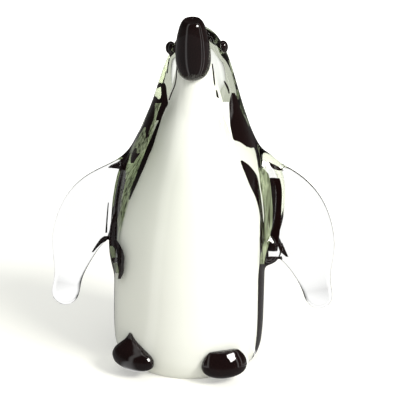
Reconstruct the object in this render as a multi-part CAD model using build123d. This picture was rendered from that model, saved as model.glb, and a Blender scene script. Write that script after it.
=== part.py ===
from build123d import *
import math
import os

# A hand-worked glass penguin that looks up at the sky, in millimetres.
# The origin is the centre of the flat base, +Z is up, the penguin faces -Y and its left is +X.
# All the glass is fused, so the pieces meet face to face and nothing moves.

# The whole figure
figure_height = 160.0
body_half_width = 34.5
body_half_depth = 33.8
neck_set_back = 6.8
neck_lean = 1.3

# The white core, inside the clear glass that lies over it, and the black layer on its back
side_wall = 2.9
front_wall = 2.0
top_wall = 13.0
core_half_width = body_half_width - side_wall
core_half_depth = body_half_depth - front_wall
core_height = figure_height - top_wall
core_forward = 0.9
core_set_back = neck_set_back - core_forward
core_lean = 1.2
overlay_thickness = 1.4
overlay_below_core = 38.5
overlay_height = core_height - overlay_below_core
overlay_front_share = -0.22

# The beak, from the middle of its sheared tip down its own axis
beak_radius = 7.6
beak_tip_radius = 3.9
beak_length = 28.5
beak_tilt = 15.0
beak_tip_forward = 7.6
beak_edge_radius = 0.7

# The eyes. Each was set a little differently on the side of the head.
eye_half_width = 2.3
eye_half_depth = 2.4
eye_half_height = 2.9
left_eye = {"below_top": 14.4, "out": -0.5}
right_eye = {"below_top": 16.0, "out": 0.5}

# The flippers: flat plates that hang from the shoulders, with a swelling at the root
flipper_reach = 65.6
flipper_thickness = 5.0
flipper_rim_share = 0.42
flipper_set_back = 5.0
flipper_turn = 3.5
flipper_tip_width = 11.5
left_root = {"half_width": 11.5, "half_depth": 8.5, "slant": 0.0}
right_root = {"half_width": 7.0, "half_depth": 7.5, "slant": 9.0}
root_height_share = 0.42
root_middle_share = 0.43
root_inset = 4.5

# Each flipper was pulled by hand, so the two hang a little differently.
# These are shares of the figure's height.
left_flipper_shares = {"tip": 0.150, "armpit": 0.325, "shoulder": 0.669}
right_flipper_shares = {"tip": 0.116, "armpit": 0.356, "shoulder": 0.644}

# The feet, on the front of the body
foot_half_depth = 6.6
foot_clearance = 3.0
foot_angle = 37.0
foot_turn = 24.0
left_foot = {"half_width": 10.6, "height": 15.8, "lean": -0.6}
right_foot = {"half_width": 11.0, "height": 19.2, "lean": 2.4}

# Sections of the clear casing as shares: height of the figure, half width of the body,
# half depth of the body, set-back of the neck and lean of the neck
casing_shares = [
    (0.000, 0.800, 0.800, 0.00, 0.00),
    (0.010, 0.885, 0.885, 0.00, 0.00),
    (0.030, 0.950, 0.950, 0.00, 0.00),
    (0.065, 0.988, 0.988, 0.00, 0.00),
    (0.125, 1.000, 1.000, 0.00, 0.00),
    (0.240, 0.995, 0.992, 0.00, 0.00),
    (0.360, 0.978, 0.975, 0.00, 0.00),
    (0.470, 0.940, 0.935, 0.12, 0.20),
    (0.555, 0.885, 0.870, 0.29, 0.40),
    (0.625, 0.803, 0.765, 0.46, 0.60),
    (0.690, 0.690, 0.625, 0.68, 0.75),
    (0.745, 0.590, 0.490, 0.87, 0.80),
    (0.800, 0.507, 0.400, 0.97, 0.75),
    (0.850, 0.432, 0.350, 1.00, 0.75),
    (0.890, 0.362, 0.312, 0.84, 0.90),
    (0.925, 0.282, 0.252, 0.56, 1.00),
    (0.950, 0.204, 0.178, 0.28, 1.10),
    (0.966, 0.118, 0.100, 0.04, 1.10),
]

# Sections of the white core as shares: its own height, half width, half depth, set-back
# and lean
core_shares = [
    (0.000, 0.800, 0.800, 0.00, 0.00),
    (0.010, 0.868, 0.868, 0.00, 0.00),
    (0.030, 0.930, 0.930, 0.00, 0.00),
    (0.070, 0.980, 0.980, 0.00, 0.00),
    (0.135, 1.000, 1.000, 0.00, 0.00),
    (0.265, 0.982, 0.984, 0.00, 0.00),
    (0.400, 0.912, 0.915, 0.02, 0.60),
    (0.520, 0.772, 0.810, 0.14, 1.00),
    (0.610, 0.602, 0.705, 0.32, 0.80),
    (0.680, 0.478, 0.595, 0.50, -0.10),
    (0.740, 0.396, 0.490, 0.68, -0.50),
    (0.800, 0.326, 0.378, 0.84, -0.20),
    (0.855, 0.265, 0.300, 0.94, 0.00),
    (0.910, 0.210, 0.240, 1.00, 0.00),
    (0.960, 0.150, 0.175, 0.98, 0.00),
    (1.000, 0.070, 0.080, 0.94, 0.00),
]

# Front edge of the black layer as shares: height of the layer, and the way back from the
# layer's front on the body (0) to the back of the casing (1). It narrows above the shoulders.
overlay_edge_shares = [
    (0.00, 0.000),
    (0.38, 0.000),
    (0.50, 0.015),
    (0.57, 0.070),
    (0.61, 0.250),
    (0.65, 0.560),
    (0.70, 0.630),
    (0.85, 0.600),
    (1.00, 0.555),
]

# Beak profile as shares: its length from the tip, and its radius
beak_shares = [
    (0.06, 0.650),
    (0.14, 0.760),
    (0.26, 0.875),
    (0.42, 0.965),
    (0.60, 1.000),
    (0.76, 0.940),
    (0.90, 0.730),
]

# Outer edge of a flipper as shares: its reach, and the height from its tip to the shoulder
flipper_outer_shares = [
    (0.370, 1.000),
    (0.520, 0.878),
    (0.720, 0.786),
    (0.890, 0.653),
    (0.970, 0.512),
    (1.000, 0.360),
    (0.990, 0.160),
]

# Round the end of a flipper as shares of its width there: from the inner corner, and up
flipper_end_shares = [
    (0.98, 0.30),
    (0.50, 0.00),
    (0.04, 0.26),
]

# Inner edge as shares: the way in from the tip's inner corner to the armpit, and up to it
flipper_inner_shares = [
    (0.10, 0.30),
    (0.36, 0.62),
    (0.64, 0.84),
    (1.00, 1.00),
]

# Sections of the feet as shares: height, half width, half depth and lean
pointed_foot_shares = [
    (0.00, 0.42, 0.36, 0.00),
    (0.07, 0.72, 0.66, 0.00),
    (0.19, 0.94, 0.92, 0.00),
    (0.35, 1.00, 1.00, 0.00),
    (0.50, 0.90, 0.92, 0.10),
    (0.64, 0.66, 0.68, 0.36),
    (0.78, 0.38, 0.42, 0.68),
    (0.90, 0.17, 0.22, 0.92),
    (1.00, 0.05, 0.08, 1.00),
]
sheared_foot_shares = [
    (0.00, 0.42, 0.36, 0.00),
    (0.10, 0.74, 0.68, 0.00),
    (0.26, 0.94, 0.93, 0.00),
    (0.44, 1.00, 1.00, 0.00),
    (0.62, 0.96, 0.88, 0.12),
    (0.78, 0.87, 0.68, 0.36),
    (0.90, 0.76, 0.47, 0.68),
    (1.00, 0.64, 0.26, 1.00),
]


def stacked_loft(sections):
    """Smooth solid through level ellipses, each (centre x, centre y, z, half width, half depth)."""
    faces = []
    for x, y, z, half_width, half_depth in sections:
        faces.append(Pos(x, y, z) * Ellipse(half_width, half_depth))
    return loft(faces)


def closed_face(plane, edges):
    """Flat face inside a closed run of edges that are drawn on the given plane."""
    return make_face([plane * edge for edge in edges])


def casing_section(share):
    """Half width, half depth, set-back and lean of the casing at a share of the figure's height."""
    for low, high in zip(casing_shares, casing_shares[1:]):
        if low[0] <= share <= high[0]:
            part_way = (share - low[0]) / (high[0] - low[0])
            wide, deep, back, lean = [a + part_way * (b - a) for a, b in zip(low[1:], high[1:])]
    return wide * body_half_width, deep * body_half_depth, back * neck_set_back, lean * neck_lean


def make_casing_outside():
    sections = []
    for height, *_ in casing_shares:
        half_width, half_depth, back, lean = casing_section(height)
        sections.append((lean, back, height * figure_height, half_width, half_depth))
    return stacked_loft(sections)


def make_core(grown=0):
    """The white core, or the same shape with its sides grown outwards for the black layer."""
    sections = []
    for height, wide, deep, back, lean in core_shares:
        x, y = lean * core_lean, back * core_set_back
        half_width = wide * core_half_width + grown
        half_depth = deep * core_half_depth + grown
        sections.append((x, y, height * core_height, half_width, half_depth))
    return stacked_loft(sections)


def make_overlay(core):
    """The black layer: a skin on the core, kept only behind its curved front edge."""
    front = overlay_front_share * core_half_depth
    back = body_half_depth + neck_set_back
    points = [(front + way * (back - front), height * overlay_height)
              for height, way in overlay_edge_shares]
    edge = Spline(*points)
    top = Line(edge @ 1, (back, overlay_height))
    rear = Line(top @ 1, (back, 0))
    foot = Line(rear @ 1, edge @ 0)
    side_view = closed_face(Plane.YZ, [edge, top, rear, foot])
    region = extrude(side_view, amount=body_half_width, both=True)
    return (make_core(grown=overlay_thickness) - core) & region


def make_beak():
    """Black drop, turned about its own axis, with the widest part low and a flat sheared tip."""
    points = [(share * beak_radius, -along * beak_length) for along, share in beak_shares]
    side = Spline((beak_tip_radius, 0), *points, (0, -beak_length))
    axis = Line((0, -beak_length), (0, 0))
    tip = Line((0, 0), (beak_tip_radius, 0))
    profile = closed_face(Plane.XZ, [side, axis, tip])
    drop = revolve(profile, Axis.Z)
    tip_rim = drop.edges().sort_by(Axis.Z)[-1]
    drop = fillet(tip_rim, beak_edge_radius)
    tip_drop = beak_tip_radius * math.sin(math.radians(beak_tilt))
    return Pos(0, -beak_tip_forward, figure_height - tip_drop) * Rot(beak_tilt, 0, 0) * drop


def make_eye(side, form):
    height = figure_height - form["below_top"]
    half_width, _, back, lean = casing_section(height / figure_height)
    x = lean + side * (half_width + form["out"])
    dot = scale(Sphere(1), by=(eye_half_width, eye_half_depth, eye_half_height))
    return Pos(x, back, height) * dot


def flipper_plate(tip, armpit, shoulder):
    """Flat plate in the plane of the shoulders, with the rim that shows rounded."""
    armpit_x = casing_section(armpit / figure_height)[0]
    corner_x = flipper_reach - flipper_tip_width
    outer = [(x * flipper_reach, tip + z * (shoulder - tip)) for x, z in flipper_outer_shares]
    end = [(corner_x + x * flipper_tip_width, tip + z * flipper_tip_width)
           for x, z in flipper_end_shares]
    inner = [(corner_x + x * (armpit_x - corner_x), tip + z * (armpit - tip))
             for x, z in flipper_inner_shares]
    edge = Spline(*outer, *end, *inner)
    buried_x = armpit_x / 2
    buried = Polyline(inner[-1], (buried_x, armpit), (buried_x, shoulder), outer[0])
    plate = extrude(closed_face(Plane.XZ, [edge, buried]), amount=flipper_thickness / 2, both=True)
    rims = plate.faces().sort_by(Axis.Y)
    rim_edges = (rims[0].edges() + rims[-1].edges()).filter_by(GeomType.BSPLINE)
    return fillet(rim_edges, flipper_rim_share * flipper_thickness)


def flipper_root(armpit, shoulder, root):
    """Swelling where the hot bit was stuck on, from the armpit to the shoulder."""
    span = shoulder - armpit
    middle = armpit + root_middle_share * span
    x = casing_section(middle / figure_height)[0] - root_inset
    radii = (root["half_width"], root["half_depth"], root_height_share * span)
    return Pos(x, 0, middle) * Rot(0, -root["slant"], 0) * scale(Sphere(1), by=radii)


def make_flipper(side, shares, root):
    tip, armpit, shoulder = [shares[name] * figure_height for name in ("tip", "armpit", "shoulder")]
    flipper = flipper_plate(tip, armpit, shoulder) + flipper_root(armpit, shoulder, root)
    if side < 0:
        flipper = mirror(flipper, Plane.YZ)
    return Pos(0, flipper_set_back, 0) * Rot(0, 0, flipper_turn) * flipper


def make_foot(side, form, shares):
    """Blob on the front of the body, drawn up to a point or a sheared edge that leans outwards."""
    rise = form["height"] - foot_clearance
    sections = []
    for height, wide, deep, lean in shares:
        x = side * lean * form["lean"]
        y = lean * form["lean"]
        z = foot_clearance + height * rise
        sections.append((x, y, z, wide * form["half_width"], deep * foot_half_depth))
    half_width, half_depth, back, _ = casing_section(form["height"] / 2 / figure_height)
    angle = math.radians(foot_angle)
    place = Pos(side * half_width * math.sin(angle), back - half_depth * math.cos(angle), 0)
    return place * Rot(0, 0, side * foot_turn) * stacked_loft(sections)


def main():
    outside = make_casing_outside()
    beak = make_beak()
    whole_core = make_core()
    overlay = make_overlay(whole_core) - beak
    core = whole_core - beak
    pieces = {
        "white_core": core,
        "black_back": overlay,
        "clear_casing": outside - beak - core - overlay,
        "beak": beak,
        "eye_left": make_eye(1, left_eye) - outside - beak,
        "eye_right": make_eye(-1, right_eye) - outside - beak,
        "flipper_left": make_flipper(1, left_flipper_shares, left_root) - outside,
        "flipper_right": make_flipper(-1, right_flipper_shares, right_root) - outside,
        "foot_left": make_foot(1, left_foot, sheared_foot_shares) - outside,
        "foot_right": make_foot(-1, right_foot, pointed_foot_shares) - outside,
    }
    os.makedirs("parts", exist_ok=True)
    for name, piece in pieces.items():
        print(name, len(piece.solids()), round(piece.volume), piece.is_valid)
        export_step(piece, "parts/" + name + ".step")


main()
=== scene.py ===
import math

import bpy
import numpy as np
from mathutils import Matrix, Vector


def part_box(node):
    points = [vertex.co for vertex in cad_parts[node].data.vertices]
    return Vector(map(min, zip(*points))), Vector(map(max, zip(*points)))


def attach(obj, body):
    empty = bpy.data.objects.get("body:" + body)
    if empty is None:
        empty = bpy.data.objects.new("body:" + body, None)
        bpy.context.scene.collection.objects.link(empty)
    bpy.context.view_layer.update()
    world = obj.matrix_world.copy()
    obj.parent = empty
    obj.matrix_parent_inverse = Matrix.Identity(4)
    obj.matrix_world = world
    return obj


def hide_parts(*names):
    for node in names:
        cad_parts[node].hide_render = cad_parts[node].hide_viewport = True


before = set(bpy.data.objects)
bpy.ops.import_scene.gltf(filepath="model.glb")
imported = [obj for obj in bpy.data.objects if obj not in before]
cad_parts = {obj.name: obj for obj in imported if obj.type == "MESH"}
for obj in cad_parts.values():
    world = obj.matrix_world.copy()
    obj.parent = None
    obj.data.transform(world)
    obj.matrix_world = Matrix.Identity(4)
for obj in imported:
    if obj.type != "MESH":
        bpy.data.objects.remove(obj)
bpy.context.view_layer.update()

# A hand-worked glass penguin, drawn in millimetres and scaled to metres.
# It faces -Y with its base on z = 0, and its left is +X.
MM = 0.001


def node_size(node):
    """Lowest and highest corner of a node of the frame, in millimetres."""
    low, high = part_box(node)
    return np.array(low) / MM, np.array(high) / MM


core_low, core_high = node_size("white_core")
casing_low, casing_high = node_size("clear_casing")

# The whole figure
body_half_width = (casing_high[0] - casing_low[0]) / 2
body_half_depth = -casing_low[1]
figure_height = 160.0
neck_set_back = 6.8
neck_lean = 1.3

# The white core and the black layer on its back
core_half_width = (core_high[0] - core_low[0]) / 2
core_half_depth = -core_low[1]
core_height = core_high[2]
core_set_back = 5.9
core_lean = 1.2
overlay_thickness = 1.4
overlay_neck_thickness = 0.5
overlay_lowest = 0.4
overlay_sunk = 0.4
overlay_edge_proud = 0.15
overlay_edge_width = 2.5
core_base_lift = 0.3
core_tip_cut = 0.02

# The flippers
flipper_reach = 65.6
flipper_thickness = 5.0
flipper_tip_thickness = 3.0
flipper_rim_share = 0.42
flipper_set_back = 5.0
flipper_turn = 3.5
flipper_tip_width = 11.5
left_root = {"half_width": 12.8, "half_depth": 8.8, "slant": 0.0}
right_root = {"half_width": 7.0, "half_depth": 7.5, "slant": 0.16}
left_drip = {"out": 35.3, "forward": 4.0, "middle": 54.0, "radii": (6.2, 5.5, 7.5)}
right_drip = {"out": 33.0, "forward": 6.0, "middle": 55.0, "radii": (4.6, 6.0, 15.0)}
root_height_share = 0.42
root_middle_share = 0.43
root_inset = 4.5
drip_blend = 3.0
root_blend = 3.0
body_blend = 5.0
base_blend = 0.8
left_flipper_shares = {"tip": 0.150, "armpit": 0.325, "shoulder": 0.669}
right_flipper_shares = {"tip": 0.116, "armpit": 0.356, "shoulder": 0.644}

# The beak, the eyes and the feet
beak_radius = 7.6
beak_tip_radius = 3.9
beak_length = 28.5
beak_tilt = 15.0
beak_tip_forward = 7.6
eye_half_width = 2.3
eye_half_depth = 2.4
eye_half_height = 2.9
left_eye = {"below_top": 14.4, "out": -0.5}
right_eye = {"below_top": 16.0, "out": 0.5}
foot_half_depth = 6.6
foot_clearance = 3.0
foot_angle = 37.0
foot_turn = 24.0
left_foot = {"half_width": 10.6, "height": 15.8, "lean": -0.6}
right_foot = {"half_width": 11.0, "height": 19.2, "lean": 2.4}

# The camera, fitted to the outline in the photograph
camera_azimuth = 8.5
camera_elevation = 19.0
camera_distance = 0.520
camera_target_z = 0.076
camera_roll = 1.2
camera_focal_px = 1150
camera_centre_px = 191
camera_clip_start = 0.01
frame_px = 400
sensor = 36.0

# Sections of the clear casing as shares: height of the figure, half width of the body,
# half depth of the body, set-back of the neck and lean of the neck
casing_shares = [
    (0, 0.8, 0.8, 0, 0), (0.01, 0.885, 0.885, 0, 0), (0.03, 0.95, 0.95, 0, 0),
    (0.065, 0.988, 0.988, 0, 0), (0.125, 1, 1, 0, 0), (0.24, 0.995, 0.992, 0, 0),
    (0.36, 0.978, 0.975, 0, 0), (0.47, 0.94, 0.935, 0.12, 0.2), (0.555, 0.885, 0.87, 0.29, 0.4),
    (0.625, 0.803, 0.765, 0.46, 0.6), (0.69, 0.69, 0.625, 0.68, 0.75),
    (0.745, 0.59, 0.49, 0.87, 0.8), (0.8, 0.507, 0.4, 0.97, 0.75), (0.85, 0.432, 0.35, 1, 0.75),
    (0.89, 0.362, 0.312, 0.84, 0.9), (0.925, 0.282, 0.252, 0.56, 1),
    (0.95, 0.204, 0.178, 0.28, 1.1), (0.966, 0.118, 0.1, 0.04, 1.1), (0.9735, 0, 0, 0, 1.1),
]

# Sections of the white core as shares: its own height, half width, half depth, set-back
# and lean
core_shares = [
    (0, 0.8, 0.8, 0, 0), (0.01, 0.868, 0.868, 0, 0), (0.03, 0.93, 0.93, 0, 0),
    (0.07, 0.98, 0.98, 0, 0), (0.135, 1, 1, 0, 0), (0.265, 0.982, 0.984, 0, 0),
    (0.4, 0.912, 0.915, 0.02, 0.6), (0.52, 0.772, 0.81, 0.14, 1), (0.61, 0.602, 0.705, 0.32, 0.8),
    (0.68, 0.478, 0.595, 0.5, -0.1), (0.74, 0.396, 0.49, 0.68, -0.5),
    (0.8, 0.326, 0.378, 0.84, -0.2), (0.855, 0.265, 0.3, 0.94, 0), (0.91, 0.21, 0.24, 1, 0),
    (0.96, 0.15, 0.175, 0.98, 0), (1, 0, 0, 0.94, 0),
]

# Edges of the black layer on the core: height, and angle from the front to the edge
layer_left_edge = [
    (0, 77), (42, 77), (54, 81), (62, 82), (66, 98), (70, 148), (76, 174), (84, 177), (89, 174),
    (93, 170), (95.5, 158), (97, 128), (98.5, 122), (100, 140), (101.5, 165), (103, 179),
    (105, 183),
]
layer_right_edge = [
    (0, 77), (42, 77), (56, 78), (62, 84), (66, 118), (70, 154), (74.5, 158), (76.5, 147),
    (78.5, 139), (81, 141), (84, 150), (90, 158), (97, 162), (102, 168), (105, 175),
]

# Thickness of the black layer: height and thickness
overlay_thicknesses = [
    (0, overlay_thickness), (92, overlay_thickness), (112, overlay_neck_thickness),
    (140, overlay_neck_thickness),
]

# Painted shade on the core's right side, drawn out in smoky wisps: height of its front edge and
# angle to it, and where it is nil and where it is full, as an angle and as two pairs of heights
shade_patch_front_edge = [
    (0, 69), (79, 69), (108, 74), (150, 74),
]
shade_patch_front_width = 3.0
shade_patch_back_fade = (165.0, 135.0)
shade_patch_low_fade = (54.0, 68.0)
shade_patch_top_fade = (114.0, 100.0)

# Black fingers up the sides of the core: height, and angles to their two edges
left_finger_edges = [
    (60, 82, 96), (66, 84, 97), (71, 87, 98), (79.5, 85.5, 99), (86, 83, 101), (91.5, 83, 96),
    (94.5, 85, 88),
]
right_finger_edges = [
    (77, 70, 70.6), (80, 69.5, 72.5), (84, 69, 75), (88, 69.5, 77), (92, 69, 79), (96, 68, 79),
    (100, 65.5, 80), (105, 66, 79), (108, 67, 79), (111, 70, 79), (113, 73, 78),
]

# A black streak deep in the left root: height, its inner and outer side from the middle, and
# how far back it lies
left_root_veil = [
    (54, 34.6, 39.4, 1.5), (57, 34.2, 40, 1.5), (62, 34.6, 40.6, 1.5), (70, 34.9, 40.9, 1.5),
    (80, 34.9, 40.9, 1.5), (87, 34.8, 40, 1.5), (88.5, 34.9, 39.4, 1.5),
]
veil_thickness = 1.0

# Streaks just under the front of the clear glass, as they show in the photograph. Each row is a
# pixel's height and the two edges there, from the top down. The black ones are partly black veils
# and partly painted refraction: they paint the dark images of the black layer and of the dark
# room.
black_veil_and_refraction_pixels = {
    "left_neck": [(92.8, 232.5, 235), (96.7, 231.3, 237), (105, 230, 239.7), (115, 230, 243.7),
        (125, 230.8, 248.3), (133.3, 232.5, 251.7), (139.2, 234.2, 254.5), (142, 240.8, 255.5),
        (146.7, 247.5, 256.5)],
    "left_shoulder": [(162, 267, 269.5), (165, 269, 276), (168, 273, 281), (170.6, 279, 284)],
    "left_hook": [(243, 278.5, 282.5), (248, 279.5, 284.5), (252, 281, 286), (257, 286, 288.3)],
    "left_drip_rim": [(257, 270, 282), (260, 266, 281.5), (262.5, 264, 274)],
    "left_throat_upper": [(64, 212, 213), (72, 213, 214.3), (80, 213.8, 215.2),
        (85.5, 214.8, 215.6)],
    "left_throat_lower": [(90, 216.3, 217.2), (95, 216.8, 218.6), (100, 218.2, 219.4)],
    "left_neck_line": [(81, 224.2, 225), (85, 226, 227.8), (90, 228.3, 229.6),
        (93.5, 229.4, 230)],
    "right_throat": [(55, 176.4, 177), (70, 175.8, 176.5), (78, 175.2, 176), (85, 173.9, 174.7),
        (93, 170.6, 171.5), (100, 168.1, 168.9)],
    "right_neck_line": [(58, 168.6, 169.2), (66, 167, 167.7), (73, 166.2, 166.9)],
    "right_neck_inner": [(83, 161.6, 164), (87, 160.6, 165.5), (92, 160.8, 166),
        (98, 161.2, 166.8), (103.3, 161.7, 167.5), (108.3, 159, 165), (114, 157, 162.5),
        (120, 155.5, 160)],
    "right_neck_outer": [(103, 153.2, 154.4), (108.3, 151.7, 154), (115, 148.4, 153.4),
        (121.7, 145.6, 151.7), (127, 144.2, 149.3), (133, 145.3, 148), (138, 145.3, 146.6)],
    "right_shoulder": [(148, 134.5, 136.5), (153, 132, 136.3), (158, 130.5, 135.5),
        (163, 130.3, 133)],
    "right_root": [(156, 125, 128.4), (158.5, 121.5, 128.6), (161.7, 117.5, 127.8),
        (165, 110.5, 126.5), (167.5, 108, 126), (169.5, 119, 125.6), (180, 120.6, 125),
        (190, 119.4, 123.2), (200, 116.5, 120.9), (210, 114, 119.5), (220, 111.6, 116.7),
        (230, 109.4, 113.5), (236, 107.5, 112.4)],
    "right_root_line": [(203, 107.8, 108.6), (215, 106.6, 107.8), (225, 105.8, 107.2),
        (233, 105.2, 107)],
    "right_hook": [(236.5, 104, 112.5), (239, 100.5, 110), (243.3, 97.3, 102.7),
        (248.3, 94, 97.2), (252.5, 91.6, 93.4)],
    "right_drip": [(238, 108, 114), (241.7, 109, 117.5), (246.7, 113, 120.3),
        (251.7, 115.8, 122.5), (258.3, 117.3, 123.7), (265, 117, 123.3), (271.7, 118.5, 123),
        (279, 117.6, 120)],
    "right_drip_rim": [(257.5, 109, 118), (260, 110.5, 118), (262.5, 111.5, 118)],
}
# The pale streaks are painted refraction: they paint the pale and green-grey images seen through
# the glass, and the milky one paints white over a dark refracted image of the black layer.
pale_refraction_pixels = {
    "left_root": [(168, 258.3, 263), (175, 260, 269), (185, 260.8, 270.8), (198, 263, 272),
        (211.7, 265, 273), (225, 265, 272.5), (238, 265, 270.5), (248, 263, 268),
        (257, 260.8, 265.5), (264, 260.5, 264.5)],
    "left_neck_milk": [(102, 220.5, 229.3), (110, 222, 229.6), (120, 225.5, 230),
        (128, 228.5, 230.8), (134, 230.8, 232.2)],
    "right_neck": [(103, 154.8, 160.8), (108.3, 154.6, 158.4), (115, 154, 156.5),
        (122, 152.2, 154.6), (128, 149.8, 152.6), (134, 148.2, 151.5)],
    "right_shoulder": [(127, 144, 145.5), (134, 139.8, 145.2), (140, 136, 148.2),
        (147, 131.8, 146), (153, 129.3, 142)],
    "right_drip": [(246, 109.8, 112), (250, 109.8, 114.5), (254, 110.5, 115.2),
        (258, 111.5, 115.5)],
    "right_drip_tail": [(263, 113, 116.5), (268, 114, 118), (273, 115.5, 118.3)],
}
white_over_refraction_streaks = ("left_neck_milk",)
# Mark of the pale streaks, whose painted colour is darkened further
darker_painted_mark = 2.0
streak_depth = 0.4
streak_thickness = 0.5

# Beak profile as shares: its length from the tip, and its radius
beak_shares = [
    (0.06, 0.65), (0.14, 0.76), (0.26, 0.875), (0.42, 0.965), (0.6, 1), (0.76, 0.94), (0.9, 0.73),
]

# The sheared tip of the beak: radius as a share of the tip's radius, and height from its rim
beak_tip_rings = [
    (0, -0.9), (0.35, -0.86), (0.62, -0.55), (0.8, -0.12), (0.92, 0), (0.975, -0.1),
]

# Outer edge of a flipper as shares: its reach, and the height from its tip to the shoulder
flipper_outer_shares = [
    (0.37, 1), (0.52, 0.878), (0.72, 0.786), (0.89, 0.653), (0.97, 0.512), (1, 0.36),
    (0.99, 0.16),
]

# Round the end of a flipper as shares of its width there: from the inner corner, and up
flipper_end_shares = [
    (0.98, 0.3), (0.5, 0), (0.04, 0.26),
]

# Inner edge as shares: the way in from the tip's inner corner to the armpit, and up to it
flipper_inner_shares = [
    (0.1, 0.3), (0.36, 0.62), (0.64, 0.84), (1, 1),
]

# Sections of the feet as shares: height, half width, half depth and lean
pointed_foot_shares = [
    (0, 0.42, 0.36, 0), (0.07, 0.72, 0.66, 0), (0.19, 0.94, 0.92, 0), (0.35, 1, 1, 0),
    (0.5, 0.9, 0.92, 0.1), (0.64, 0.66, 0.68, 0.36), (0.78, 0.38, 0.42, 0.68),
    (0.9, 0.17, 0.22, 0.92), (1, 0.05, 0.08, 1),
]
sheared_foot_shares = [
    (0, 0.42, 0.36, 0), (0.1, 0.74, 0.68, 0), (0.26, 0.94, 0.93, 0), (0.44, 1, 1, 0),
    (0.62, 0.96, 0.88, 0.12), (0.78, 0.87, 0.68, 0.36), (0.9, 0.76, 0.47, 0.68),
    (1, 0.64, 0.26, 1),
]

# Ripples that the tools left: heights where they are nil and full, and as rows their waves
# round the body, rise for one radian, phase and depth
ripple_low_fade = (60.0, 100.0)
ripple_top_fade = (142.0, 127.0)
ripple_middle_y = 6.0
tool_ripples = [
    (7, 19, 0, 0.1), (11, -27, 1.3, 0.07), (2, 6.5, 0, 0.05), (-3, 11, 0.6, 0.03),
]

# The box in which the clear glass is looked for, and how finely the meshes are made
glass_box = ((-70, -38, -3), (70, 46, 160))
glass_step = 1.0
stack_step = 0.25
outline_step = 0.25
outline_margin = 12.0
outline_points = 260
sight_step = 0.5
sight_reach = 75.0
settle_rounds = 3
relax_rounds = 6
relax_share = 0.6
slope_reach = 0.3
least_slope_squared = 0.05
core_rows, core_columns = 150, 144
core_crowding = 0.45
overlay_rows, overlay_columns = 360, 96
finger_rows, finger_columns = 110, 16
veil_rows, veil_columns = 80, 24
streak_rows_per_gap, streak_columns = 10, 12
beak_rows, beak_columns = 60, 72
eye_rows, eye_columns = 24, 40
eye_pole_gap = 0.06
foot_base_share = 0.1
foot_base_rows, foot_upper_rows, foot_columns = 6, 34, 56


# Curves and distances

def fade(value, none, full):
    """0 at the value none and 1 at the value full, straight between them."""
    return np.clip((value - none) / (full - none), 0, 1)


def smooth_curve(places, values, at):
    """Values of a smooth curve that never swings past the points that it goes through."""
    width = np.diff(places)
    rise = np.diff(values) / width
    slope = np.zeros_like(values)
    slope[0] = rise[0]
    slope[-1] = rise[-1]
    before, after = rise[:-1], rise[1:]
    steady = before * after > 0
    weight_a = (2 * width[1:] + width[:-1])[steady]
    weight_b = (width[1:] + 2 * width[:-1])[steady]
    mean = (weight_a + weight_b) / (weight_a / before[steady] + weight_b / after[steady])
    slope[1:-1][steady] = mean
    cell = np.clip(np.searchsorted(places, at) - 1, 0, len(width) - 1)
    t = np.clip((at - places[cell]) / width[cell], 0, 1)
    end_part = (3 - 2 * t) * t * t
    bend = t * t * (t - 1) * width[cell] * slope[cell + 1]
    lift = t * width[cell] * slope[cell] * (1 - t) ** 2
    return values[cell] * (1 - end_part) + values[cell + 1] * end_part + lift + bend


def table_curves(table, at):
    """Values of the smooth curves through a table's columns, over its first column."""
    table = np.array(table, float)
    return [smooth_curve(table[:, 0], column, at) for column in table[:, 1:].T]


def unit(rows):
    """Rows of numbers scaled to length 1."""
    return rows / np.linalg.norm(rows, axis=1)[:, None]


def way_out(around, up=0.0):
    """A direction away from the figure: degrees from its front round to its left, and up."""
    turn, rise = math.radians(around), math.radians(up)
    return np.array((math.sin(turn) * math.cos(rise), -math.cos(turn) * math.cos(rise),
                     math.sin(rise)))


def natural_spline(points, count):
    """Points along the smoothest curve through the given ones, spaced by their chords."""
    points = np.asarray(points, float)
    chord = np.linalg.norm(np.diff(points, axis=0), axis=1)
    knots = np.concatenate([[0], np.cumsum(chord)])
    run = np.diff(points, axis=0) / chord[:, None]
    size = len(points)
    system = np.zeros((size, size))
    right = np.zeros((size, 2))
    system[0, 0] = system[-1, -1] = 1
    for i in range(1, size - 1):
        system[i, i - 1:i + 2] = chord[i - 1], 2 * (chord[i - 1] + chord[i]), chord[i]
        right[i] = 6 * (run[i] - run[i - 1])
    bend = np.linalg.solve(system, right)
    at = np.linspace(0, knots[-1], count)
    cell = np.clip(np.searchsorted(knots, at) - 1, 0, size - 2)
    h = chord[cell][:, None]
    a = (knots[cell + 1] - at)[:, None] / h
    b = (at - knots[cell])[:, None] / h
    return (a * points[cell] + b * points[cell + 1]
            + ((a ** 3 - a) * bend[cell] + (b ** 3 - b) * bend[cell + 1]) * h * h / 6)


def make_stack(shares, height, half_width, half_depth, set_back, lean):
    """A smooth pile of level ellipses, as finely spaced tables of their squared radii."""
    table = np.array(shares)
    z = np.arange(0, table[-1, 0] * height + stack_step, stack_step)
    places = table[:, 0] * height
    stack = {"z": z, "top": places[-1]}
    stack["wide2"] = smooth_curve(places, (table[:, 1] * half_width) ** 2, z)
    stack["deep2"] = smooth_curve(places, (table[:, 2] * half_depth) ** 2, z)
    stack["y"] = smooth_curve(places, table[:, 3] * set_back, z)
    stack["x"] = smooth_curve(places, table[:, 4] * lean, z)
    for name in ("wide2", "deep2", "x", "y"):
        stack[name + "_slope"] = np.gradient(stack[name], stack_step)
    return stack


def section(stack, z):
    """Centre x, centre y, half width and half depth of a stack at the given heights."""
    x, y, wide2, deep2 = [np.interp(z, stack["z"], stack[name])
                          for name in ("x", "y", "wide2", "deep2")]
    return x, y, np.sqrt(np.maximum(wide2, 0)), np.sqrt(np.maximum(deep2, 0))


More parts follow.
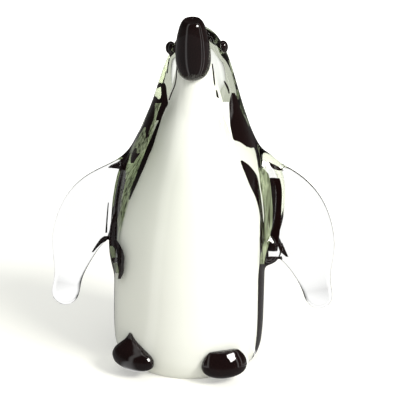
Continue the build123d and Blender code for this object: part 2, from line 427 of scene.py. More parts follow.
def stack_distance(stack, x, y, z):
    """About the distance from a point to the side of a stack, negative inside."""
    names = ("x", "y", "wide2", "deep2", "x_slope", "y_slope", "wide2_slope", "deep2_slope")
    got = [np.interp(z, stack["z"], stack[name]) for name in names]
    cx, cy, wide2, deep2, cx_slope, cy_slope, wide2_slope, deep2_slope = got
    wide2 = np.maximum(wide2, 0.01)
    deep2 = np.maximum(deep2, 0.01)
    dx, dy = x - cx, y - cy
    q = np.sqrt(dx * dx / wide2 + dy * dy / deep2) + 1e-6
    slope_x = dx / (wide2 * q)
    slope_y = dy / (deep2 * q)
    slope_z = -(dx * dx * wide2_slope / wide2 ** 2 + dy * dy * deep2_slope / deep2 ** 2
                + 2 * dx * cx_slope / wide2 + 2 * dy * cy_slope / deep2) / (2 * q)
    side = (q - 1) / np.sqrt(slope_x ** 2 + slope_y ** 2 + slope_z ** 2 + 1e-9)
    above = np.sqrt(dx * dx + dy * dy + (z - stack["top"]) ** 2)
    return np.where(z > stack["top"], above, side)


def smooth_min(a, b, blend):
    """The lesser of two distances, with the crease between them rounded."""
    near = np.maximum(blend - np.abs(a - b), 0) / blend
    return np.minimum(a, b) - near ** 3 * blend / 6


def bar_distance(x, y, z, radii, level_power=2.6, upright_power=2.4):
    """About the distance to a bar with a square-shouldered level section and rounded ends."""
    a, b, c = [np.abs(value) / radius + 1e-6 for value, radius in zip((x, y, z), radii)]
    level = (a ** level_power + b ** level_power) ** (1 / level_power)
    whole = (level ** upright_power + c ** upright_power) ** (1 / upright_power)
    along_level = (level / whole) ** (upright_power - 1)
    slope_x = along_level * (a / level) ** (level_power - 1) / radii[0]
    slope_y = along_level * (b / level) ** (level_power - 1) / radii[1]
    slope_z = (c / whole) ** (upright_power - 1) / radii[2]
    return (whole - 1) / np.sqrt(slope_x ** 2 + slope_y ** 2 + slope_z ** 2)


class OutlineMap:
    """Distances to a closed outline in the XZ plane, worked out once on a fine grid."""

    def __init__(self, outline, margin):
        self.low = outline.min(axis=0) - margin
        high = outline.max(axis=0) + margin
        self.count = np.ceil((high - self.low) / outline_step).astype(int) + 1
        xs = self.low[0] + outline_step * np.arange(self.count[0])
        zs = self.low[1] + outline_step * np.arange(self.count[1])
        x, z = np.meshgrid(xs, zs, indexing="ij")
        nearest = np.full(x.shape, 1e9)
        inside = np.zeros(x.shape, bool)
        for (ax, az), (bx, bz) in zip(outline, np.roll(outline, -1, axis=0)):
            run_x, run_z = bx - ax, bz - az
            length2 = run_x ** 2 + run_z ** 2
            t = np.clip(((x - ax) * run_x + (z - az) * run_z) / length2, 0, 1)
            nearest = np.minimum(nearest, (x - ax - t * run_x) ** 2 + (z - az - t * run_z) ** 2)
            if az != bz:
                crossed = (az > z) != (bz > z)
                inside ^= crossed & (x < ax + (z - az) * run_x / run_z)
        self.distance = np.where(inside, -1, 1) * np.sqrt(nearest)

    def __call__(self, x, z):
        u = np.clip((x - self.low[0]) / outline_step, 0, self.count[0] - 1.001)
        v = np.clip((z - self.low[1]) / outline_step, 0, self.count[1] - 1.001)
        i, j = u.astype(int), v.astype(int)
        s, t = u - i, v - j
        d = self.distance
        low = d[i, j] * (1 - s) + d[i + 1, j] * s
        high = d[i, j + 1] * (1 - s) + d[i + 1, j + 1] * s
        beyond = np.hypot(x - np.clip(x, self.low[0], self.low[0] + self.count[0] * outline_step),
                          z - np.clip(z, self.low[1], self.low[1] + self.count[1] * outline_step))
        return low * (1 - t) + high * t + beyond


# The clear glass: casing, shoulders and flippers in one piece

casing = make_stack(casing_shares, figure_height, body_half_width, body_half_depth,
                    neck_set_back, neck_lean)
core = make_stack(core_shares, core_height, core_half_width, core_half_depth,
                  core_set_back, core_lean)


class Flipper:
    """One flipper: a plate with a rounded rim, the swelling at its root and a drip below."""

    def __init__(self, side, shares, root, drip):
        self.side = side
        tip, armpit, shoulder = [shares[name] * figure_height
                                 for name in ("tip", "armpit", "shoulder")]
        self.tip, self.armpit = tip, armpit
        armpit_x = section(casing, armpit)[2]
        corner_x = flipper_reach - flipper_tip_width
        outer = [(x * flipper_reach, tip + z * (shoulder - tip)) for x, z in flipper_outer_shares]
        end = [(corner_x + x * flipper_tip_width, tip + z * flipper_tip_width)
               for x, z in flipper_end_shares]
        inner = [(corner_x + x * (armpit_x - corner_x), tip + z * (armpit - tip))
                 for x, z in flipper_inner_shares]
        edge = natural_spline(outer + end + inner, outline_points)
        buried = np.array([(armpit_x / 2, armpit), (armpit_x / 2, shoulder)])
        self.outline = OutlineMap(np.vstack([edge, buried]), outline_margin)
        span = shoulder - armpit
        self.root_z = armpit + root_middle_share * span
        self.root_x = section(casing, self.root_z)[2] - root_inset
        self.root_radii = (root["half_width"], root["half_depth"], root_height_share * span)
        self.slant = root["slant"]
        self.drip = drip

    def distances(self, x, y, z):
        """Distances to the plate and to the root with its drip."""
        turn = math.radians(flipper_turn)
        y = y - flipper_set_back
        across = (x * math.cos(turn) + y * math.sin(turn)) * self.side
        deep = -x * math.sin(turn) + y * math.cos(turn)
        whole = np.interp(z, (self.tip, self.armpit), (flipper_tip_thickness, flipper_thickness))
        rim = flipper_rim_share * whole
        flat = self.outline(across, z) + rim
        thick = np.abs(deep) - whole / 2 + rim
        plate = (np.minimum(np.maximum(flat, thick), 0)
                 + np.hypot(np.maximum(flat, 0), np.maximum(thick, 0)) - rim)
        out = across - self.root_x + self.slant * (z - self.root_z)
        root = bar_distance(out, deep, z - self.root_z, self.root_radii)
        drip = bar_distance(across - self.drip["out"], deep + self.drip["forward"],
                            z - self.drip["middle"], self.drip["radii"],
                            level_power=2.0, upright_power=2.0)
        return plate, smooth_min(root, drip, drip_blend)


flippers = [Flipper(1, left_flipper_shares, left_root, left_drip),
            Flipper(-1, right_flipper_shares, right_root, right_drip)]


def tool_marks(x, y, z):
    """Low ripples that the tools left, mostly along the neck and shoulders."""
    turn = np.arctan2(x, ripple_middle_y - y)
    waves = sum(depth * np.sin(count * turn + z / rise + phase)
                for count, rise, phase, depth in tool_ripples)
    return fade(z, *ripple_low_fade) * fade(z, *ripple_top_fade) * waves


def glass_distance(x, y, z):
    """About the distance to the clear glass, negative inside."""
    whole = stack_distance(casing, x, y, z)
    for flipper in flippers:
        plate, root = flipper.distances(x, y, z)
        whole = smooth_min(whole, smooth_min(plate, root, root_blend), body_blend)
    whole = whole + tool_marks(x, y, z)
    return -smooth_min(-whole, z, base_blend)


def slope_of(field, points):
    """Direction and size of the steepest rise of a field at each point."""
    slope = np.empty_like(points)
    for axis in range(3):
        shift = np.zeros(3)
        shift[axis] = slope_reach
        rise = field(*(points + shift).T) - field(*(points - shift).T)
        slope[:, axis] = rise / (2 * slope_reach)
    return slope


def settle(field, points, rounds):
    """Moves points onto the zero level of a field."""
    for _ in range(rounds):
        slope = slope_of(field, points)
        level = field(*points.T)
        steep = np.maximum((slope ** 2).sum(axis=1), least_slope_squared)
        points = points - slope * (level / steep)[:, None]
    return points


def surface_mesh(field, low, high, step):
    """Even quads over the zero level of a field, and the outward direction at each point."""
    axes = [np.arange(a, b + step, step) for a, b in zip(low, high)]
    grid = np.meshgrid(*axes, indexing="ij", sparse=True)
    inside = field(*grid) < 0
    filled = inside.astype(int)
    for axis in range(3):
        filled = np.moveaxis(filled, axis, 0)
        filled = np.moveaxis(filled[:-1] + filled[1:], 0, axis)
    active = (filled > 0) & (filled < 8)
    number = np.full(active.shape, -1)
    number[active] = np.arange(active.sum())
    points = np.array(low) + step * (np.argwhere(active) + 0.5)
    quads = []
    for axis in range(3):
        u, v = (axis + 1) % 3, (axis + 2) % 3
        first = np.moveaxis(inside, axis, 0)
        at = np.argwhere(np.moveaxis(first[:-1] != first[1:], 0, axis))
        leaves = inside[tuple(at.T)]
        corners = []
        for du, dv in ((1, 1), (0, 1), (0, 0), (1, 0)):
            cell = at.copy()
            cell[:, u] -= du
            cell[:, v] -= dv
            corners.append(number[tuple(cell.T)])
        quad = np.stack(corners, axis=1)
        quad[~leaves] = quad[~leaves][:, ::-1]
        quads.append(quad)
    quads = np.vstack(quads)
    points = settle(field, points, settle_rounds)
    ends = np.vstack([quads[:, [i, (i + 1) % 4]] for i in range(4)])
    count = np.bincount(ends[:, 0], minlength=len(points))[:, None]
    for _ in range(relax_rounds):
        total = np.stack([np.bincount(ends[:, 0], points[ends[:, 1], axis], len(points))
                          for axis in range(3)], axis=1)
        points = settle(field, (1 - relax_share) * points + relax_share * total / count, 1)
    points = settle(field, points, 2)
    return points, quads, unit(slope_of(field, points))


# Meshes

def add_object(name, data):
    made = bpy.data.objects.new(name, data)
    bpy.context.scene.collection.objects.link(made)
    return made


def add_piece(name, points, faces, normals=None):
    """A smooth mesh of the object, from points in millimetres."""
    mesh = bpy.data.meshes.new(name)
    mesh.from_pydata((points * MM).tolist(), [], faces)
    mesh.polygons.foreach_set("use_smooth", [True] * len(mesh.polygons))
    if normals is not None:
        mesh.normals_split_custom_set_from_vertices(normals.tolist())
    piece = add_object(name, mesh)
    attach(piece, "root")
    return piece


def ring_faces(rows, columns, strip_caps=False):
    """Quads round a pile of closed rings, with both ends closed."""
    faces = []
    for i in range(rows - 1):
        for j in range(columns):
            k = (j + 1) % columns
            faces.append((i * columns + j, i * columns + k,
                          (i + 1) * columns + k, (i + 1) * columns + j))
    last = (rows - 1) * columns
    if not strip_caps:
        faces.append(tuple(reversed(range(columns))))
        faces.append(tuple(range(last, last + columns)))
        return faces
    for j in range(columns // 2 - 1):
        far = columns - 1 - j
        faces.append((far, far - 1, j + 1, j))
        faces.append((last + j, last + j + 1, last + far - 1, last + far))
    return faces


def level_rings(x, y, z, wide, deep, columns):
    """Level ellipses of points round the given middles, as rows, columns and places."""
    angle = np.linspace(0, 2 * math.pi, columns, endpoint=False)
    x, y, z, wide, deep = [value[:, None] for value in np.broadcast_arrays(x, y, z, wide, deep)]
    rings = np.empty((len(z), columns, 3))
    rings[..., 0] = x + wide * np.sin(angle)
    rings[..., 1] = y - deep * np.cos(angle)
    rings[..., 2] = z
    return rings


def turned(rings, angle, axis):
    turn = np.array(Matrix.Rotation(math.radians(angle), 3, axis))
    return rings.reshape(-1, 3) @ turn.T


def core_shell(z, first, last, columns):
    """A thin shell sunk in the core's surface, between two edge angles at each height."""
    share = np.linspace(0, 1, columns)
    span = (last - first)[:, None]
    angle = first[:, None] + share * span
    x, y, wide, deep = [value[:, None] for value in section(core, z)]
    room = np.minimum(share, 1 - share) * span * (wide + deep) / 2
    taper = np.sqrt(1 - (1 - fade(room, 0, overlay_edge_width)) ** 2)
    full = table_curves(overlay_thicknesses, z)[0]
    outer = overlay_edge_proud + (full[:, None] - overlay_edge_proud) * taper
    points = np.empty((len(z), 2 * columns, 3))
    front_half, back_half = slice(0, columns), slice(2 * columns - 1, columns - 1, -1)
    for half, grown in ((front_half, outer), (back_half, -overlay_sunk)):
        points[:, half, 0] = x + (wide + grown) * np.sin(angle)
        points[:, half, 1] = y - (deep + grown) * np.cos(angle)
        points[:, half, 2] = z[:, None]
    return points.reshape(-1, 3), ring_faces(len(z), 2 * columns, strip_caps=True)


def join_shells(shells):
    """Points and faces of several closed shells as one mesh."""
    points, faces, count = [], [], 0
    for shell_points, shell_faces in shells:
        points.append(shell_points)
        faces += [tuple(corner + count for corner in face) for face in shell_faces]
        count += len(shell_points)
    return np.vstack(points), faces


def veil_shell(table):
    """A flat streak with rounded edges, upright in the glass."""
    z = np.linspace(table[0][0], table[-1][0], veil_rows)
    inner, outer, back = table_curves(table, z)
    rings = level_rings((inner + outer) / 2, back, z, (outer - inner) / 2, veil_thickness / 2,
                        veil_columns)
    return rings.reshape(-1, 3), ring_faces(veil_rows, veil_columns)


def camera_axes():
    """The camera's place in millimetres, and its directions right, up and back."""
    back = way_out(camera_azimuth, camera_elevation)
    right = way_out(camera_azimuth + 90)
    up = np.cross(back, right)
    roll = math.radians(camera_roll)
    right, up = (math.cos(roll) * right + math.sin(roll) * up,
                 math.cos(roll) * up - math.sin(roll) * right)
    place = (np.array((0.0, 0.0, camera_target_z)) + back * camera_distance) / MM
    return place, right, up, back


def front_of_glass(pixel_x, pixel_y):
    """Where lines of sight through pixels meet the clear glass, and the way out of it there."""
    eye, right, up, back = camera_axes()
    aside = (pixel_x - camera_centre_px) / camera_focal_px
    above = (frame_px / 2 - pixel_y) / camera_focal_px
    aim = unit(aside[:, None] * right + above[:, None] * up - back)
    middle = camera_distance / MM
    places = np.arange(middle - sight_reach, middle + sight_reach, sight_step)
    level = glass_distance(*[eye[axis] + aim[:, axis, None] * places for axis in range(3)])
    inside = level < 0
    first = np.where(inside.any(axis=1), inside.argmax(axis=1), level.argmin(axis=1))
    row = np.arange(len(aim))
    here, before = level[row, first], level[row, first - 1]
    share = np.where(here < 0, before / np.maximum(before - here, 1e-6), 1.0)
    points = eye + aim * (places[first - 1] + sight_step * share)[:, None]
    points = settle(glass_distance, points, settle_rounds)
    return points, unit(slope_of(glass_distance, points))


def streak_shell(rows):
    """A thin streak that follows the front of the clear glass just under its surface, where it
    paints what shows through the glass.
    """
    columns = streak_columns
    table = np.array(rows[::-1], float)
    place = np.arange(len(table), dtype=float)
    along = np.linspace(0, place[-1], streak_rows_per_gap * (len(table) - 1) + 1)
    height, first, last = [smooth_curve(place, table[:, column], along)[:, None]
                           for column in range(3)]
    across = first + np.linspace(0, 1, columns) * (last - first)
    surface, outward = [part.reshape(len(along), columns, 3)
                        for part in front_of_glass(across.ravel(), np.repeat(height, columns))]
    inner = surface - (streak_depth + streak_thickness) * outward
    points = np.concatenate([surface - streak_depth * outward, inner[:, ::-1]], axis=1)
    return points.reshape(-1, 3), ring_faces(len(along), 2 * columns, strip_caps=True)


def edge_angles(table, z):
    return [np.radians(angle) for angle in table_curves(table, z)]


def set_marks(piece, name, values):
    """Stores a number for each point of a piece, for its material to read."""
    piece.data.attributes.new(name, "FLOAT", "POINT").data.foreach_set("value", values)


def make_white_core():
    """The core and the pale streaks, with marks for where painted shade goes and for the streaks,
    which are painted refraction.
    """
    t = np.linspace(0, 2 * math.pi, core_rows)
    heights = (core["top"] - core_tip_cut) * (t - core_crowding * np.sin(t)) / (2 * math.pi)
    x, y, wide, deep = section(core, heights)
    lifted = heights + core_base_lift * (heights < core_base_lift)
    points = level_rings(x, y, lifted, wide, deep, core_columns).reshape(-1, 3)
    x, y, z = points.T
    middle_x, middle_y, _, _ = section(core, z)
    around = np.degrees(np.arctan2(middle_x - x, middle_y - y))
    # Painted shade: a patch on the core's right flank
    front_edge = table_curves(shade_patch_front_edge, z)[0]
    painted_shade_patch = fade(around, front_edge, front_edge + shade_patch_front_width)
    painted_shade_patch *= fade(around, *shade_patch_back_fade) * fade(z, *shade_patch_low_fade) * fade(z, *shade_patch_top_fade)
    shells = [(points, ring_faces(core_rows, core_columns))]
    shade_and_streak_marks = [painted_shade_patch]
    painted_streak_marks = [np.zeros(len(points))]
    for name, rows in pale_refraction_pixels.items():
        shells.append(streak_shell(rows))
        count = len(shells[-1][0])
        shade_and_streak_marks.append(np.full(count, 0.0 if name in white_over_refraction_streaks else darker_painted_mark))
        painted_streak_marks.append(np.ones(count))
    points, faces = join_shells(shells)
    piece = add_piece("opal_core_and_painted_streaks", points, faces)
    set_marks(piece, "shade_and_streak_marks", np.concatenate(shade_and_streak_marks))
    set_marks(piece, "painted_streak_marks", np.concatenate(painted_streak_marks))
    return piece


def make_black_layer():
    """The black layer with its fingers, and the black streaks in the clear glass, which are
    partly painted refraction.
    """
    z = np.linspace(overlay_lowest, layer_left_edge[-1][0], overlay_rows)
    left, right = [edge_angles(edge, z)[0] for edge in (layer_left_edge, layer_right_edge)]
    shells = [core_shell(z, left, 2 * math.pi - right, overlay_columns),
              veil_shell(left_root_veil)]
    for finger, on_left in ((left_finger_edges, True), (right_finger_edges, False)):
        z = np.linspace(finger[0][0], finger[-1][0], finger_rows)
        front_edge, back_edge = edge_angles(finger, z)
        if not on_left:
            front_edge, back_edge = 2 * math.pi - back_edge, 2 * math.pi - front_edge
        shells.append(core_shell(z, front_edge, back_edge, finger_columns))
    shells += [streak_shell(rows) for rows in black_veil_and_refraction_pixels.values()]
    points, faces = join_shells(shells)
    return add_piece("black_layer_and_painted_refraction", points, faces)


def make_beak():
    """A turned drop of glass with a sheared tip, tilted forward at its top."""
    profile = [(beak_tip_radius, 0.0)]
    profile += [(share * beak_radius, -along * beak_length) for along, share in beak_shares]
    profile += [(0.0, -beak_length)]
    side = natural_spline(profile, beak_rows)
    tip = [(share * beak_tip_radius, height) for share, height in beak_tip_rings]
    radius, height = np.vstack([tip, side[2:]])[-2:0:-1].T
    points = turned(level_rings(0, 0, height, radius, radius, beak_columns), beak_tilt, "X")
    drop = beak_tip_radius * math.sin(math.radians(beak_tilt))
    points += (0, -beak_tip_forward, figure_height - drop)
    return add_piece("beak_drop", points, ring_faces(len(height), beak_columns))


def make_eye(side, form, name):
    height = figure_height - form["below_top"]
    x, y, wide, _ = section(casing, height)
    polar = np.linspace(eye_pole_gap, math.pi - eye_pole_gap, eye_rows)
    rings = level_rings(x + side * (wide + form["out"]), y,
                        height - eye_half_height * np.cos(polar),
                        eye_half_width * np.sin(polar), eye_half_depth * np.sin(polar),
                        eye_columns)
    return add_piece(name, rings.reshape(-1, 3), ring_faces(eye_rows, eye_columns))


def make_foot(side, form, shares, name):
    rise = form["height"] - foot_clearance
    table = np.array(shares)
    share = np.concatenate([np.linspace(0, foot_base_share, foot_base_rows)[:-1],
                            np.linspace(foot_base_share, 1, foot_upper_rows)])
    wide, deep = [np.sqrt(smooth_curve(table[:, 0], table[:, column] ** 2, share))
                  for column in (1, 2)]
    lean = smooth_curve(table[:, 0], table[:, 3], share) * form["lean"]
    rings = level_rings(side * lean, lean, foot_clearance + share * rise,
                        wide * form["half_width"], deep * foot_half_depth, foot_columns)
    points = turned(rings, side * foot_turn, "Z")
    _, back, half_width, half_depth = section(casing, form["height"] / 2)
    around = math.radians(foot_angle)
    points += (side * half_width * math.sin(around), back - half_depth * math.cos(around), 0)
    return add_piece(name, points, ring_faces(len(share), foot_columns))


# Materials

# Stops of the colours: place from 0 to 1, and colour
opal_stops = [(0, (0.86, 0.86, 0.82, 1)), (1, (0.93, 0.93, 0.90, 1))]
# Colours of the painted shade on the core's right side and in the pale streaks, drawn out in
# wisps
shade_wisp_stops = [
    (0.36, (0.020, 0.018, 0.010, 1)),
    (0.46, (0.28, 0.33, 0.20, 1)),
    (0.66, (0.66, 0.76, 0.50, 1)),
]
black_stops = [(0, (0.004, 0.002, 0.002, 1)), (1, (0.010, 0.004, 0.004, 1))]
streak_shade = (0.03, 0.03, 0.02, 1)
streak_shade_share = 0.5
glass_index = 1.5
glass_tint = (0.50, 0.66, 0.20, 1)
glass_tint_density = 5.5
opal_cloud_scale = 28
black_cloud_scale = 60
shade_wisp_scale = (900, 900, 45)
shade_wisp_slant = -22
shade_wisp_distortion = 0.6
opal_roughness = 0.6
black_roughness = 0.04
bare_specular = 0.5


def add_node(tree, kind, inputs=(), **settings):
    """Adds a shader node. An input gets a plain value or the output of another node."""
    node = tree.nodes.new(kind)
    for name, value in settings.items():
        setattr(node, name, value)
    for name, value in dict(inputs).items():
        if isinstance(value, bpy.types.NodeSocket):
            tree.links.new(value, node.inputs[name])
        else:
            node.inputs[name].default_value = value
    return node


def add_math(tree, operation, *values):
    return add_node(tree, "ShaderNodeMath", enumerate(values), operation=operation).outputs[0]


def add_range(tree, value, low, high, near, far, kind="LINEAR"):
    """Maps low to high onto near to far, and holds the end values beyond."""
    inputs = {"Value": value, "From Min": low, "From Max": high, "To Min": near, "To Max": far}
    return add_node(tree, "ShaderNodeMapRange", inputs, interpolation_type=kind).outputs[0]


def add_mix(tree, share, first, second):
    return add_node(tree, "ShaderNodeMixShader", {0: share, 1: first, 2: second}).outputs[0]


def add_colour_mix(tree, share, first, second):
    inputs = {0: share, 6: first, 7: second}
    return add_node(tree, "ShaderNodeMix", inputs, data_type="RGBA").outputs[2]


def add_clouds(tree, place, scale, detail=2.0, distortion=0.0):
    inputs = {"Vector": place, "Scale": scale, "Detail": detail, "Distortion": distortion}
    return add_node(tree, "ShaderNodeTexNoise", inputs).outputs[0]


def add_colours(tree, value, stops):
    node = add_node(tree, "ShaderNodeValToRGB", {0: value})
    elements = node.color_ramp.elements
    for position, _ in stops[1:-1]:
        elements.new(position)
    for element, (position, colour) in zip(elements, stops):
        element.position = position
        element.color = colour
    return node.outputs[0]


def read_marks(tree, name):
    return add_node(tree, "ShaderNodeAttribute", attribute_name=name).outputs["Fac"]


def new_material(name):
    material = bpy.data.materials.new(name)
    material.use_nodes = True
    material.node_tree.nodes.clear()
    return material, material.node_tree


def clear_glass():
    """Glass with a faint green body, which lets the lamp and the even light straight through."""
    material, tree = new_material("clear_glass_melt")
    glass = add_node(tree, "ShaderNodeBsdfPrincipled", {
        "Base Color": (1, 1, 1, 1),
        "Transmission Weight": 1,
        "Roughness": 0.0,
        "IOR": glass_index,
    })
    straight = add_node(tree, "ShaderNodeBsdfTransparent").outputs[0]
    path = add_node(tree, "ShaderNodeLightPath").outputs
    for_diffuse = add_mix(tree, path["Is Diffuse Ray"], glass.outputs[0], straight)
    for_shadow = add_mix(tree, path["Is Shadow Ray"], for_diffuse, straight)
    tint = add_node(tree, "ShaderNodeVolumeAbsorption", {
        "Color": glass_tint,
        "Density": glass_tint_density,
    })
    add_node(tree, "ShaderNodeOutputMaterial", {"Surface": for_shadow, "Volume": tint.outputs[0]})
    return material


def let_lamp_through(tree, surface, share):
    """Streaks inside the glass cast no hard shadow on the core: share is 1 on them."""
    path = add_node(tree, "ShaderNodeLightPath").outputs
    straight = add_node(tree, "ShaderNodeBsdfTransparent").outputs[0]
    both = add_math(tree, "MULTIPLY", path["Is Shadow Ray"], share)
    return add_mix(tree, both, surface, straight)


def opal_glass():
    """White glass with faint clouds, painted shade drawn out in smoky wisps where it is marked,
    and the painted streaks darker still.
    """
    material, tree = new_material("opal_white_and_painted_shade")
    place = add_node(tree, "ShaderNodeTexCoord").outputs["Object"]
    tone = add_colours(tree, add_clouds(tree, place, opal_cloud_scale, detail=3), opal_stops)
    drawn_out = add_node(tree, "ShaderNodeMapping", {
        "Vector": place,
        "Scale": shade_wisp_scale,
        "Rotation": (0, math.radians(shade_wisp_slant), 0),
    })
    shade_wisps = add_clouds(tree, drawn_out.outputs[0], 1.0, 4, shade_wisp_distortion)
    shade_wisp_colour = add_colours(tree, shade_wisps, shade_wisp_stops)
    shade_and_streak_marks = read_marks(tree, "shade_and_streak_marks")
    deep = add_range(tree, shade_and_streak_marks, 1, darker_painted_mark, 0, streak_shade_share)
    darker = add_colour_mix(tree, deep, shade_wisp_colour, streak_shade)
    surface = add_node(tree, "ShaderNodeBsdfPrincipled", {
        "Base Color": add_colour_mix(tree, shade_and_streak_marks, tone, darker),
        "Roughness": opal_roughness,
        "Specular IOR Level": 0.0,
    })
    lit = let_lamp_through(tree, surface.outputs[0], read_marks(tree, "painted_streak_marks"))
    add_node(tree, "ShaderNodeOutputMaterial", {"Surface": lit})
    return material


def black_glass(name, sunk):
    """Black glass: sunk in the clear glass, where it has no gloss of its own, or bare."""
    material, tree = new_material(name)
    place = add_node(tree, "ShaderNodeTexCoord").outputs["Object"]
    surface = add_node(tree, "ShaderNodeBsdfPrincipled", {
        "Base Color": add_colours(tree, add_clouds(tree, place, black_cloud_scale), black_stops),
        "Roughness": black_roughness,
        "IOR": glass_index,
        "Specular IOR Level": 0.0 if sunk else bare_specular,
    }).outputs[0]
    if sunk:
        surface = let_lamp_through(tree, surface, 1)
    add_node(tree, "ShaderNodeOutputMaterial", {"Surface": surface})
    return material


# Build the pieces

points, quads, normals = surface_mesh(glass_distance, *glass_box, glass_step)
glass = add_piece("clear_body_and_flippers", points, quads.tolist(), normals)
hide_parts("clear_casing", "flipper_left", "flipper_right")
glass.data.materials.append(clear_glass())

opal = make_white_core()
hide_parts("white_core")
opal.data.materials.append(opal_glass())

layer = make_black_layer()
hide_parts("black_back")
layer.data.materials.append(black_glass("black_melt_and_painted_refraction", sunk=True))

beak = make_beak()
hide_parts("beak")
eye_left = make_eye(1, left_eye, "eye_bead_left")
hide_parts("eye_left")
eye_right = make_eye(-1, right_eye, "eye_bead_right")
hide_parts("eye_right")
foot_left = make_foot(1, left_foot, sheared_foot_shares, "foot_blob_left")
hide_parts("foot_left")
foot_right = make_foot(-1, right_foot, pointed_foot_shares, "foot_blob_right")
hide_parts("foot_right")
bare_black = black_glass("black_melt_outside", sunk=False)
for piece in (beak, eye_left, eye_right, foot_left, foot_right):
    piece.data.materials.append(bare_black)


# The floor, the light and the camera

# The white sheet behind the figure, as cosines of the angle away from it, and how bright it
# and the room's sides are. By way of a reflection it shows weaker.
backdrop_cosine = 0.84
side_cosine = 0.62
side_level = 0.06
backdrop_level = 1.10
mirrored_level = 0.25

# The even light from the room, and upright strips of light that bare glass reflects:
# how far round from the front to the left, half width and strength
fill_level = 0.67
light_strips = [
    (-38, 11, 1.1), (74, 4, 1.6), (92, 4, 1.6),
]
strip_core_share = 0.2

# The sky as heights of a line of sight between which it fades, and its level at each
sky_through = (0.45, 0.75, 1.0, 0.10)
sky_reflected = (-0.05, 0.35, 0.12, 0.05)
reflected_colour = (1, 1, 0.97, 1)
fill_colour = (0.98, 1.0, 0.97, 1)

# The floor: its size in metres, and its glow as distances from the figure and levels there
floor_radius = 1.2
floor_sides = 96
floor_drop = 0.05 * MM
floor_colour = (0.80, 0.79, 0.74, 1)
floor_glow = (0.12, 0.40, 0.32, 1.0)
floor_bright_near = (0.17, 0.10, 0, backdrop_level)
floor_reflected_level = 0.22

# The lamp: angles round from the front to the left and up, metres, watts and colour
lamp_around = 62
lamp_up = 36
lamp_distance = 0.80
lamp_aim_z = 0.07
lamp_size = 0.24
lamp_power = 5.8
lamp_colour = (1.0, 0.99, 0.95)


def add_vector_math(tree, operation, *values):
    return add_node(tree, "ShaderNodeVectorMath", enumerate(values), operation=operation).outputs


def add_cosine(tree, direction, axis):
    return add_vector_math(tree, "DOT_PRODUCT", direction, axis)["Value"]


def add_emission(tree, strength):
    return add_node(tree, "ShaderNodeEmission", {"Strength": strength}).outputs[0]


def add_background(tree, colour, strength):
    inputs = {"Color": colour, "Strength": strength}
    return add_node(tree, "ShaderNodeBackground", inputs).outputs[0]


def backdrop_light(tree, direction):
    """Bright towards the white sheet behind the figure, and dark towards the room's sides."""
    facing = add_cosine(tree, direction, -way_out(camera_azimuth))
    return add_range(tree, facing, side_cosine, backdrop_cosine, side_level, backdrop_level,
                     "SMOOTHSTEP")


def weaken_mirrored(tree, path, level):
    """Weakens the light that reaches the eye through glass by way of a reflection."""
    share = add_range(tree, path["Glossy Depth"], 0, 1, 1, mirrored_level)
    return add_math(tree, "MULTIPLY", level, share)


def reflected_room(tree, direction, level):
    """The strength of the room that bare glass reflects: a plain level and upright strips."""
    for around, half_width, strength in light_strips:
        edge = math.sin(math.radians(half_width))
        ahead = add_cosine(tree, direction, way_out(around))
        aside = add_cosine(tree, direction, way_out(around + 90))
        band = add_range(tree, add_math(tree, "ABSOLUTE", aside), edge, strip_core_share * edge,
                         0, strength, "SMOOTHSTEP")
        front = add_math(tree, "GREATER_THAN", ahead, 0)
        level = add_math(tree, "MULTIPLY_ADD", band, front, level)
    return level


def make_floor():
    """A pale round floor: white to the eye and through glass, and dull in plain reflections."""
    rim = level_rings(0, 0, [-floor_drop], floor_radius, floor_radius, floor_sides)[0]
    mesh = bpy.data.meshes.new("floor")
    mesh.from_pydata(rim.tolist(), [], [tuple(range(floor_sides))])
    floor = add_object("floor", mesh)
    material, tree = new_material("pale_floor")
    path = add_node(tree, "ShaderNodeLightPath").outputs
    place = add_node(tree, "ShaderNodeNewGeometry").outputs["Position"]
    away = add_vector_math(tree, "LENGTH", place)["Value"]
    direction = add_vector_math(tree, "NORMALIZE", place)["Vector"]
    matt = add_node(tree, "ShaderNodeBsdfDiffuse", {"Color": floor_colour}).outputs[0]
    glow = add_math(tree, "MULTIPLY", add_range(tree, away, *floor_glow), path["Is Camera Ray"])
    both = {0: matt, 1: add_emission(tree, glow)}
    plain = add_node(tree, "ShaderNodeAddShader", both).outputs[0]
    bright = add_math(tree, "MAXIMUM", backdrop_light(tree, direction),
                      add_range(tree, away, *floor_bright_near))
    through = add_emission(tree, weaken_mirrored(tree, path, bright))
    dull = add_emission(tree, reflected_room(tree, direction, floor_reflected_level))
    mirrored = add_mix(tree, path["Is Glossy Ray"], plain, dull)
    seen = add_mix(tree, path["Is Transmission Ray"], mirrored, through)
    add_node(tree, "ShaderNodeOutputMaterial", {"Surface": seen})
    floor.data.materials.append(material)


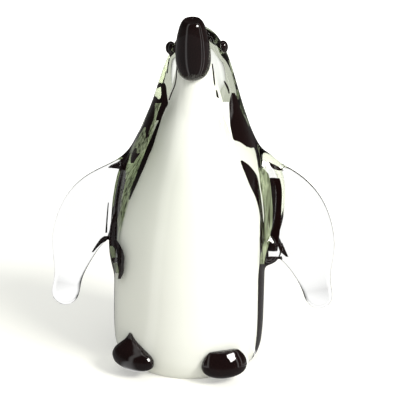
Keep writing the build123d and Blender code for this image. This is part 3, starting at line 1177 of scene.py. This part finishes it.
def make_world():
    """White round the horizon and dark overhead, with a darker room for plain reflections."""
    world = bpy.data.worlds.new("studio")
    bpy.context.scene.world = world
    world.use_nodes = True
    tree = world.node_tree
    tree.nodes.clear()
    path = add_node(tree, "ShaderNodeLightPath").outputs
    direction = add_node(tree, "ShaderNodeTexCoord").outputs["Generated"]
    height = add_node(tree, "ShaderNodeSeparateXYZ", {0: direction}).outputs["Z"]
    sides = add_math(tree, "MAXIMUM", backdrop_light(tree, direction), path["Is Camera Ray"])
    sky = add_math(tree, "MULTIPLY", add_range(tree, height, *sky_through, "SMOOTHSTEP"), sides)
    through = add_background(tree, (1, 1, 1, 1), weaken_mirrored(tree, path, sky))
    dim = add_range(tree, height, *sky_reflected, "SMOOTHSTEP")
    room = add_background(tree, reflected_colour, reflected_room(tree, direction, dim))
    fill = add_background(tree, fill_colour, fill_level)
    plain = add_mix(tree, path["Is Glossy Ray"], fill, room)
    straight = add_math(tree, "MAXIMUM", path["Is Camera Ray"], path["Is Transmission Ray"])
    add_node(tree, "ShaderNodeOutputWorld", {"Surface": add_mix(tree, straight, plain, through)})


def make_lamp():
    """A square soft lamp that faces the figure."""
    away = Vector(way_out(lamp_around, lamp_up))
    data = bpy.data.lights.new("key", "AREA")
    data.shape = "RECTANGLE"
    data.size = data.size_y = lamp_size
    data.energy = lamp_power
    data.color = lamp_colour
    lamp = add_object("key", data)
    lamp.location = Vector((0, 0, lamp_aim_z)) + away * lamp_distance
    lamp.rotation_mode = "QUATERNION"
    lamp.rotation_quaternion = (-away).to_track_quat("-Z", "Y")


def make_camera():
    place, right, up, back = [Vector(part) for part in camera_axes()]
    data = bpy.data.cameras.new("camera")
    data.sensor_width = sensor
    data.lens = sensor * camera_focal_px / frame_px
    data.shift_x = (frame_px / 2 - camera_centre_px) / frame_px
    data.clip_start = camera_clip_start
    camera = add_object("camera", data)
    turn = Matrix((right, up, back)).transposed().to_4x4()
    camera.matrix_world = Matrix.Translation(place * MM) @ turn
    bpy.context.scene.camera = camera


make_floor()
make_world()
make_lamp()
make_camera()
bpy.context.scene.view_settings.view_transform = "Standard"
